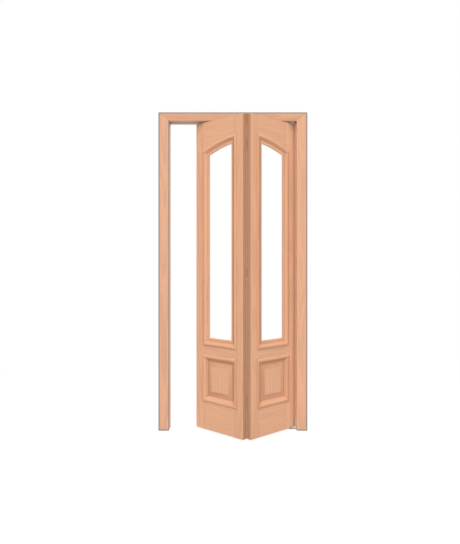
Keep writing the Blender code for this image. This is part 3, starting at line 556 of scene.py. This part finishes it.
def smoothing_group():
    """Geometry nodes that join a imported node's corners and shade its curved faces smooth."""
    group = bpy.data.node_groups.new("shade_smooth_by_angle", "GeometryNodeTree")
    group.interface.new_socket("Geometry", in_out="INPUT", socket_type="NodeSocketGeometry")
    group.interface.new_socket("Geometry", in_out="OUTPUT", socket_type="NodeSocketGeometry")
    add = group.nodes.new
    start = add("NodeGroupInput")
    bare = add("GeometryNodeRemoveAttribute")
    bare.inputs["Name"].default_value = "custom_normal"
    weld = add("GeometryNodeMergeByDistance")
    weld.inputs["Distance"].default_value = WELD_DISTANCE
    faces = add("GeometryNodeSetShadeSmooth")
    angle = add("GeometryNodeInputMeshEdgeAngle")
    is_sharp = add("FunctionNodeCompare")
    is_sharp.data_type = "FLOAT"
    is_sharp.operation = "GREATER_THAN"
    is_sharp.inputs[1].default_value = SMOOTH_ANGLE
    edges = add("GeometryNodeSetShadeSmooth")
    edges.domain = "EDGE"
    edges.inputs["Shade Smooth"].default_value = False
    end = add("NodeGroupOutput")
    chain = [start, bare, weld, faces, edges, end]
    for first, second in zip(chain, chain[1:]):
        group.links.new(first.outputs[0], second.inputs[0])
    group.links.new(angle.outputs["Unsigned Angle"], is_sharp.inputs[0])
    group.links.new(is_sharp.outputs[0], edges.inputs["Selection"])
    return group


def dress(item, material):
    item.data.materials.clear()
    item.data.materials.append(material)


def dress_nodes():
    smoothing = smoothing_group()
    for seed, (name, node) in enumerate(sorted(nodes.items())):
        slot = node.data.materials[0].name
        modifier = node.modifiers.new("smooth", "NODES")
        modifier.node_group = smoothing
        if slot in FINISHES:
            dress(node, FINISHES[slot])
            continue
        body = node["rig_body"]
        horizontal = any(word in name for word in HORIZONTAL_WORDS)
        turn = (0.0, 0.0 if horizontal else math.radians(90), LEAF_TURN[body])
        low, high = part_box(name)
        middle = (low + high) / 2
        tone = 1.0 + TONE_SPREAD * math.sin(seed * TONE_STEP)
        colour = shade(FRAME_WOOD if body == "frame" else LEAF_WOOD, tone)
        # Own tones, some of them painted light or painted shade
        shares = TONES_AND_PAINTED_LIGHT.get(name, (1.0, 1.0, 1.0))
        colour = tuple(channel * share for channel, share in zip(colour, shares))
        dress(node, wood(name, colour, turn, middle, seed + 1.0, body))


# Screws


def revolved(profile, sides):
    """A bmesh turned about Z from (radius, height) points that start and end on the axis."""
    solid = bmesh.new()
    rings = []
    for radius, height in profile:
        if radius == 0.0:
            rings.append([solid.verts.new((0.0, 0.0, height))] * sides)
            continue
        ring = []
        for i in range(sides):
            angle = math.tau * i / sides
            ring.append(solid.verts.new((radius * math.cos(angle), radius * math.sin(angle), height)))
        rings.append(ring)
    for lower, upper in zip(rings, rings[1:]):
        for i in range(sides):
            j = (i + 1) % sides
            corners = list(dict.fromkeys((lower[i], lower[j], upper[j], upper[i])))
            solid.faces.new(corners)
    bmesh.ops.recalc_face_normals(solid, faces=solid.faces)
    return solid


def cross_cutter(reach):
    """A tapering cross, wide at the top, for the screwdriver."""
    cutter = bmesh.new()
    for turn in (0.0, math.pi / 2):
        blade = bmesh.ops.create_cube(cutter, size=1.0)["verts"]
        for corner in blade:
            wide = 1.0 if corner.co.z > 0 else RECESS_TAPER
            corner.co.x *= reach * 2 * wide
            corner.co.y *= RECESS_WIDTH
            corner.co.z *= RECESS_DEPTH * 2
        bmesh.ops.rotate(cutter, verts=blade, cent=(0, 0, 0), matrix=Matrix.Rotation(turn, 3, "Z"))
    return cutter


def to_object(solid, name):
    mesh = bpy.data.meshes.new(name)
    solid.to_mesh(mesh)
    solid.free()
    item = bpy.data.objects.new(name, mesh)
    bpy.context.scene.collection.objects.link(item)
    return item


def screw_mesh(name, profile, reach):
    """A screw head turned about Z with its recess cut into the top, which lies at nought."""
    head = to_object(revolved(profile, SCREW_SIDES), name)
    cutter = to_object(cross_cutter(reach), "cutter")
    cutter.data.materials.append(FINISHES["steel"])
    cut = head.modifiers.new("recess", "BOOLEAN")
    cut.operation = "DIFFERENCE"
    cut.solver = "EXACT"
    cut.use_self = True
    cut.object = cutter
    bpy.context.view_layer.update()
    mesh = bpy.data.meshes.new_from_object(head.evaluated_get(bpy.context.evaluated_depsgraph_get()))
    mesh.name = name
    bpy.data.objects.remove(head)
    bpy.data.objects.remove(cutter)
    mesh.shade_smooth()
    mesh.set_sharp_from_angle(angle=SMOOTH_ANGLE)
    return mesh


def flat_head():
    """A countersunk head with a short length of shank."""
    cone = SCREW_RADIUS - SCREW_SHANK
    rim = SCREW_RADIUS * RIM_SHARE
    profile = [
        (0.0, -cone - rim),
        (SCREW_SHANK, -cone - rim),
        (SCREW_RADIUS, -rim),
        (SCREW_RADIUS - rim, 0.0),
        (0.0, 0.0),
    ]
    return screw_mesh("flat_screw", profile, SCREW_RADIUS * FLAT_RECESS_SHARE)


def pan_head():
    """A pan head whose top is at nought and whose seat is below it."""
    profile = [(0.0, -PAN_HEIGHT), (PAN_RADIUS, -PAN_HEIGHT)]
    inner = PAN_RADIUS * PAN_TOP_SHARE
    for step in range(PAN_STEPS + 1):
        angle = math.radians(90) * step / PAN_STEPS
        radius = inner + (PAN_RADIUS - inner) * math.cos(angle)
        profile.append((radius, -PAN_HEIGHT * PAN_DOME_SHARE * (1 - math.sin(angle))))
    profile.append((0.0, 0.0))
    return screw_mesh("pan_screw", profile, PAN_RADIUS * PAN_RECESS_SHARE)


def place_screw(name, mesh, point, facing, body, turn):
    """Put a screw with its top at a point, facing a way, and turned about its own axis."""
    screw = bpy.data.objects.new(name, mesh)
    bpy.context.scene.collection.objects.link(screw)
    rotation = Vector(facing).to_track_quat("Z", "Y").to_matrix().to_4x4()
    screw.matrix_world = Matrix.Translation(point) @ rotation @ Matrix.Rotation(turn, 4, "Z")
    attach(screw, body)


def build_hinge_screws(flat):
    """Three screws in each plate, the middle one further from the knuckles."""
    mesh = flat.copy()
    mesh.materials.clear()
    mesh.materials.append(FINISHES["brass"])
    turn = 0.0
    for level_name in ("top", "middle", "bottom"):
        for leaf in ("pivot", "guide"):
            low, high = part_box(f"{level_name}_hinge_{leaf}_plate")
            level = (low.z + high.z) / 2
            for step in (-1, 0, 1):
                distance = HINGE_SCREW_NEAR if step else HINGE_SCREW_FAR
                sunk = BACKWARD[leaf] * (HINGE_BACK_GAP + SCREW_SINK)
                point = HINGE - ALONG[leaf] * distance - sunk
                point.z = level + step * HINGE_SCREW_STEP
                turn += HINGE_SCREW_TURN
                name = f"{level_name}_hinge_{leaf}_screw_{step + 2}"
                place_screw(name, mesh, point, BACKWARD[leaf], f"{leaf}_leaf", turn)


def place_row(name, mesh, points, facing):
    """A row of steel screws in the frame's ironwork."""
    start, step = SCREW_TURNS[name]
    for number, point in enumerate(points):
        turn = number * step + start
        place_screw(f"{name}_{number + 1}", mesh, point, facing, "frame", turn)


def build_frame_screws(flat, pan):
    """Screws of the bottom bracket, the track and the pivot bracket's clamp."""
    for mesh in (flat, pan):
        mesh.materials.clear()
        mesh.materials.append(FINISHES["steel"])
    low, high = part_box("bottom_pivot_bracket")
    jamb_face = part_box("right_jamb")[0].x
    middle = (low.y + high.y) / 2
    points = []
    for share in LEG_SCREW_SHARES:
        points.append(Vector((jamb_face - PROUD, middle, low.z + (high.z - low.z) * share)))
    place_row("bracket_leg_screw", flat, points, (-1, 0, 0))
    across = PIVOT.x + (jamb_face - PIVOT.x) * BASE_SCREW_REACH
    spread = (high.y - low.y) * BASE_SCREW_SPREAD
    top = BRACKET_BASE_TOP + PROUD
    points = [Vector((across, middle + side * spread, top)) for side in (-1, 1)]
    place_row("bracket_base_screw", flat, points, (0, 0, 1))
    track_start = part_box("top_track")[0].x
    low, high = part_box("top_pivot_bracket")
    seat = high.z - PAN_HEIGHT + PROUD
    points = []
    for share in TRACK_SCREW_SHARES:
        points.append(Vector((track_start + (low.x - track_start) * share, 0.0, seat)))
    place_row("track_screw", pan, points, (0, 0, -1))
    middle = (low.x + high.x) / 2
    spread = (high.x - low.x) / 2 * CLAMP_SCREW_SPREAD
    points = [Vector((middle + side * spread, 0.0, low.z - PROUD)) for side in (-1, 1)]
    place_row("pivot_clamp_screw", flat, points, (0, 0, -1))


def build_screws():
    flat = flat_head()
    build_hinge_screws(flat)
    build_frame_screws(flat, pan_head())


# Springs


def coil(radius, low, high):
    """Round wire wound about Z, whose middle rises from low to high."""
    wire = bmesh.new()
    count = SPRING_TURNS * SPRING_TURN_POINTS
    rise = (high - low) / (math.tau * SPRING_TURNS)
    rings = []
    for i in range(count + 1):
        angle = math.tau * i / SPRING_TURN_POINTS
        out = Vector((math.cos(angle), math.sin(angle), 0.0))
        along = Vector((-out.y * radius, out.x * radius, rise)).normalized()
        up = out.cross(along)
        middle = out * radius + Vector((0.0, 0.0, low + (high - low) * i / count))
        ring = []
        for side in range(SPRING_SIDES):
            turn = math.tau * side / SPRING_SIDES
            spoke = (out * math.cos(turn) + up * math.sin(turn)) * SPRING_WIRE
            ring.append(wire.verts.new(middle + spoke))
        rings.append(ring)
    for lower, upper in zip(rings, rings[1:]):
        for i in range(SPRING_SIDES):
            j = (i + 1) % SPRING_SIDES
            wire.faces.new((lower[i], lower[j], upper[j], upper[i]))
    for end in (rings[0], rings[-1]):
        wire.faces.new(end)
    bmesh.ops.recalc_face_normals(wire, faces=wire.faces)
    return wire


def build_springs():
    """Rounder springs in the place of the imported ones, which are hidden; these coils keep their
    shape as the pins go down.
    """
    for name, body, joint in (
        ("top_pivot", "pivot_leaf", "top_pin_slide"),
        ("guide", "guide_leaf", "guide_pin_slide"),
    ):
        low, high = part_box(f"{name}_spring")
        radius = (high.x - low.x) / 2 - SPRING_WIRE
        spring = to_object(coil(radius, low.z + SPRING_WIRE, high.z - SPRING_WIRE), f"{name}_coil")
        spring.location = ((low.x + high.x) / 2, (low.y + high.y) / 2, 0.0)
        spring.data.shade_smooth()
        spring.data.set_sharp_from_angle(angle=SMOOTH_ANGLE)
        dress(spring, FINISHES["steel"])
        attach(spring, body)
        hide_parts(f"{name}_spring")
        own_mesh(spring)


# Studio


def background_mask(tree):
    """One where the camera, a reflection or a pane sees the surface, and nought for its light."""
    path = tree.nodes.new("ShaderNodeLightPath")
    total = path.outputs["Is Camera Ray"]
    for other in ("Is Glossy Ray", "Is Transmission Ray"):
        highest = tree.nodes.new("ShaderNodeMath")
        highest.operation = "MAXIMUM"
        tree.links.new(total, highest.inputs[0])
        tree.links.new(path.outputs[other], highest.inputs[1])
        total = highest.outputs[0]
    return total


def mix_shaders(tree, factor, first, second):
    mix = tree.nodes.new("ShaderNodeMixShader")
    tree.links.new(factor, mix.inputs[0])
    tree.links.new(first.outputs[0], mix.inputs[1])
    tree.links.new(second.outputs[0], mix.inputs[2])
    return mix


def white(tree, kind, strength):
    node = tree.nodes.new(kind)
    node.inputs["Color"].default_value = (1.0, 1.0, 1.0, 1.0)
    node.inputs["Strength"].default_value = strength
    return node


def build_world():
    """Even white light, and a white background at a strength of one."""
    world = bpy.data.worlds.new("studio")
    bpy.context.scene.world = world
    world.use_nodes = True
    tree = world.node_tree
    light = white(tree, "ShaderNodeBackground", WORLD_STRENGTH)
    seen = white(tree, "ShaderNodeBackground", 1.0)
    mix = mix_shaders(tree, background_mask(tree), light, seen)
    tree.links.new(mix.outputs[0], tree.nodes["World Output"].inputs["Surface"])


def diffuse(tree, albedo):
    node = tree.nodes.new("ShaderNodeBsdfDiffuse")
    node.inputs["Color"].default_value = (albedo, albedo, albedo, 1.0)
    return node


def floor_finish():
    """White paper that glows, but for a share near the door that is lit and keeps the shadow."""
    material = bpy.data.materials.new("studio_floor")
    material.use_nodes = True
    tree = material.node_tree
    tree.nodes.clear()
    place = tree.nodes.new("ShaderNodeTexCoord")
    distance = tree.nodes.new("ShaderNodeVectorMath")
    distance.operation = "LENGTH"
    tree.links.new(place.outputs["Object"], distance.inputs[0])
    share = tree.nodes.new("ShaderNodeMapRange")
    share.interpolation_type = "SMOOTHSTEP"
    levels = (*SHADOW_REACH, 1.0 - SHADOW_SHARE, 1.0)
    for socket, level in zip(("From Min", "From Max", "To Min", "To Max"), levels):
        share.inputs[socket].default_value = level
    tree.links.new(distance.outputs["Value"], share.inputs["Value"])
    glow = white(tree, "ShaderNodeEmission", 1.0)
    seen = mix_shaders(tree, share.outputs[0], diffuse(tree, PAPER_ALBEDO), glow)
    mix = mix_shaders(tree, background_mask(tree), diffuse(tree, FLOOR_ALBEDO), seen)
    output = tree.nodes.new("ShaderNodeOutputMaterial")
    tree.links.new(mix.outputs[0], output.inputs["Surface"])
    return material


def build_floor():
    half = FLOOR_SIZE / 2
    outline = ((-half, -half), (half, -half), (half, half), (-half, half))
    corners = [(x, y, -FLOOR_DROP) for x, y in outline]
    mesh = bpy.data.meshes.new("floor")
    mesh.from_pydata(corners, [], [(0, 1, 2, 3)])
    mesh.materials.append(floor_finish())
    floor = bpy.data.objects.new("floor", mesh)
    bpy.context.scene.collection.objects.link(floor)


def add_light(name, azimuth, height, strength):
    """A square soft light. Its strength is what it adds to a white face turned towards it."""
    turn = math.radians(azimuth)
    rise = math.radians(height)
    direction = Vector((
        math.sin(turn) * math.cos(rise),
        -math.cos(turn) * math.cos(rise),
        math.sin(rise),
    ))
    half = LIGHT_SIZE / 2 / LIGHT_DISTANCE
    rim = half / math.sqrt(1 + half ** 2)
    view_factor = 4 / math.pi * rim * math.atan(rim)
    lamp = bpy.data.lights.new(name, "AREA")
    lamp.shape = "SQUARE"
    lamp.size = LIGHT_SIZE
    lamp.energy = strength * math.pi * LIGHT_SIZE ** 2 / view_factor
    item = bpy.data.objects.new(name, lamp)
    item.location = LIGHT_TARGET + direction * LIGHT_DISTANCE
    item.rotation_euler = (-direction).to_track_quat("-Z", "Y").to_euler()
    item.visible_camera = False
    item.visible_glossy = False
    item.visible_transmission = False
    bpy.context.scene.collection.objects.link(item)


def build_camera():
    camera = bpy.data.cameras.new("camera")
    camera.sensor_width = SENSOR
    camera.lens = FOCAL_PIXELS / IMAGE_HEIGHT * SENSOR
    camera.shift_x = (IMAGE_WIDTH / 2 - VANISHING_POINT_PX[0]) / IMAGE_HEIGHT
    camera.shift_y = (VANISHING_POINT_PX[1] - IMAGE_HEIGHT / 2) / IMAGE_HEIGHT
    item = bpy.data.objects.new("camera", camera)
    item.location = CAMERA_PLACE
    item.rotation_euler = (math.radians(90), 0.0, 0.0)
    bpy.context.scene.collection.objects.link(item)
    bpy.context.scene.camera = item


dress_nodes()
build_screws()
build_springs()
build_world()
build_floor()
add_light("key", **KEY)
add_light("back", **BACK)
build_camera()
bpy.context.scene.view_settings.view_transform = "Standard"
